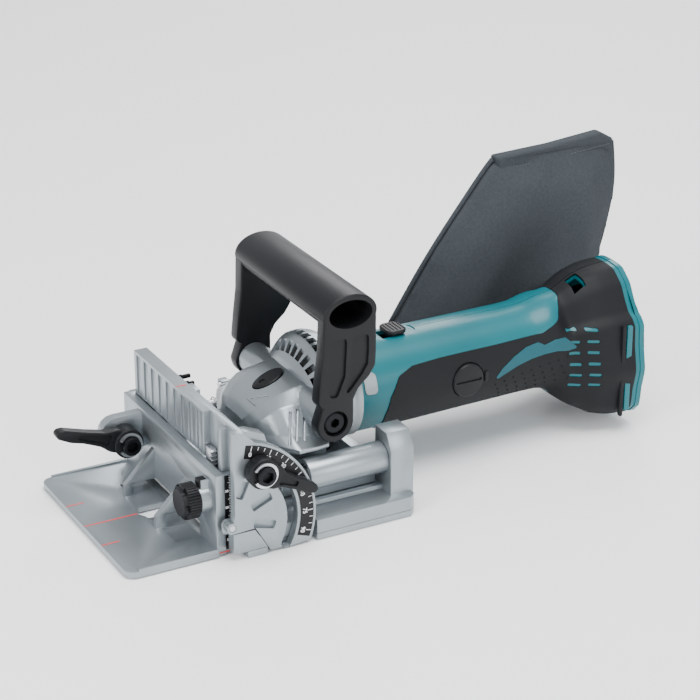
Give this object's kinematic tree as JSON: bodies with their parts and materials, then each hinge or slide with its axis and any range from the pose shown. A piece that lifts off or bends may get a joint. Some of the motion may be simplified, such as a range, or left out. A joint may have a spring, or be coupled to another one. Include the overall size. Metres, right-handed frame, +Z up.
{
  "type": "cordless biscuit joiner",
  "caption": "Hand tool that plunges a small circular blade from a flat base to cut biscuit slots, with a tilting guide, height fence, D-handle and dust bag.",
  "frame": {"origin": "on the sole, directly below the blade spindle's axis with the motor body fully back", "axes": "+X from the fence to the battery foot, +Y to the user's right (the dust bag's side), +Z up from the sole"},
  "size_m": [0.4054, 0.1716, 0.1549],
  "materials": {
    "cast": "silver-blue satin paint on die-cast aluminium",
    "steel": "bright machined steel",
    "dark_steel": "blackened steel",
    "bronze": "sintered bronze",
    "copper": "copper",
    "teal": "teal moulded nylon, satin",
    "black": "black moulded plastic",
    "rubber": "soft black grip rubber",
    "scale": "black scale with white marks",
    "cloth": "dark grey woven polyester"
  },
  "bodies": {
    "base": {"sole_plate": "cast", "sole_screw": "steel", "blade_cover": "cast", "guide_rod_near": "steel", "guide_rod_far": "steel", "hinge_pin_near": "steel", "hinge_pin_far": "steel", "angle_clamp_bolt": "dark_steel", "turret_pin": "steel", "dust_nozzle": "black", "bag_collar": "black", "dust_bag": "cloth"},
    "turret": {"depth_turret": "black"},
    "motor_body": {"slide_carriage": "cast", "slide_bush_near": "bronze", "slide_bush_far": "bronze", "return_spring_near": "steel", "return_spring_far": "steel", "gear_housing": "cast", "bearing_plate": "cast", "housing_left": "teal", "housing_right": "teal", "grip_left": "rubber", "grip_right": "rubber", "brush_cap_near": "black", "brush_cap_far": "black", "field_yoke": "steel", "motor_bearing_front": "steel", "motor_bearing_rear": "steel", "spindle_bearing": "steel", "switch_unit": "black", "battery_terminal": "black", "handle": "black", "handle_bolt_near": "dark_steel", "handle_bolt_far": "dark_steel"},
    "depth_stop": {"depth_screw": "steel"},
    "armature": {"armature_shaft": "steel", "rotor_core": "steel", "commutator": "copper", "cooling_fan": "black", "bevel_pinion": "steel"},
    "spindle": {"spindle": "steel", "bevel_gear": "steel", "blade": "steel", "blade_nut": "steel"},
    "switch": {"slide_switch": "black"},
    "shaft_lock": {"shaft_lock_button": "black"},
    "guide": {"angle_guide": "cast", "angle_scale": "scale"},
    "rack": {"height_rack": "steel"},
    "fence": {"fence": "cast", "height_scale": "scale", "fence_clamp_bolt": "dark_steel"},
    "knob": {"height_knob": "black", "height_pinion": "steel"},
    "fence_lever": {"fence_clamp_lever": "black", "fence_lever_clip": "steel"},
    "angle_lever": {"angle_clamp_lever": "black", "angle_lever_clip": "steel"}
  },
  "joints": [
    {"name": "plunge", "type": "slide", "parent": "base", "child": "motor_body", "axis": [-1, 0, 0], "range_m": [0, 0.0265], "stiffness_N_per_m": 400, "springref_m": -0.03, "deforming": ["return_spring_near", "return_spring_far"]},
    {"name": "turret_turn", "type": "hinge", "parent": "base", "child": "turret", "pos_m": [-0.0285, 0.0645, 0.0445], "axis": [1, 0, 0], "continuous": true},
    {"name": "depth_adjust", "type": "slide", "parent": "motor_body", "child": "depth_stop", "axis": [1, 0, 0], "range_m": [0, 0.004]},
    {"name": "armature_spin", "type": "hinge", "parent": "motor_body", "child": "armature", "pos_m": [0.0775, 0, 0.054], "axis": [1, 0, 0], "continuous": true},
    {"name": "spindle_spin", "type": "hinge", "parent": "motor_body", "child": "spindle", "pos_m": [0, 0, 0.02], "axis": [0, 0, 1], "continuous": true},
    {"name": "switch_slide", "type": "slide", "parent": "motor_body", "child": "switch", "axis": [-1, 0, 0], "range_m": [0, 0.006]},
    {"name": "lock_press", "type": "slide", "parent": "motor_body", "child": "shaft_lock", "axis": [0, 0, -1], "range_m": [0, 0.0025], "stiffness_N_per_m": 300, "springref_m": -0.004},
    {"name": "guide_tilt", "type": "hinge", "parent": "base", "child": "guide", "pos_m": [-0.056, 0, 0.02], "axis": [0, -1, 0], "range_deg": [0, 90]},
    {"name": "rack_climb", "type": "slide", "parent": "guide", "child": "rack", "axis": [0, 0, 1], "range_m": [0, 0.033]},
    {"name": "fence_height", "type": "slide", "parent": "rack", "child": "fence", "axis": [0, 0, 1], "range_m": [0, 0.015]},
    {"name": "knob_turn", "type": "hinge", "parent": "fence", "child": "knob", "pos_m": [-0.0625, -0.0486, 0.031], "axis": [1, 0, 0], "range_deg": [-216, 0]},
    {"name": "fence_lever_turn", "type": "hinge", "parent": "fence", "child": "fence_lever", "pos_m": [-0.0744, 0.03075, 0.0339], "axis": [0, 1, 0], "range_deg": [0, 45]},
    {"name": "angle_lever_turn", "type": "hinge", "parent": "base", "child": "angle_lever", "pos_m": [-0.04, -0.0756, 0.05281], "axis": [0, -1, 0], "range_deg": [0, 60]}
  ],
  "couplings": [
    {"joint": "spindle_spin", "follows": "armature_spin", "ratio": 0.375},
    {"joint": "rack_climb", "follows": "guide_tilt", "m_per_rad": 0.02037},
    {"joint": "knob_turn", "follows": "fence_height", "rad_per_m": -250}
  ]
}
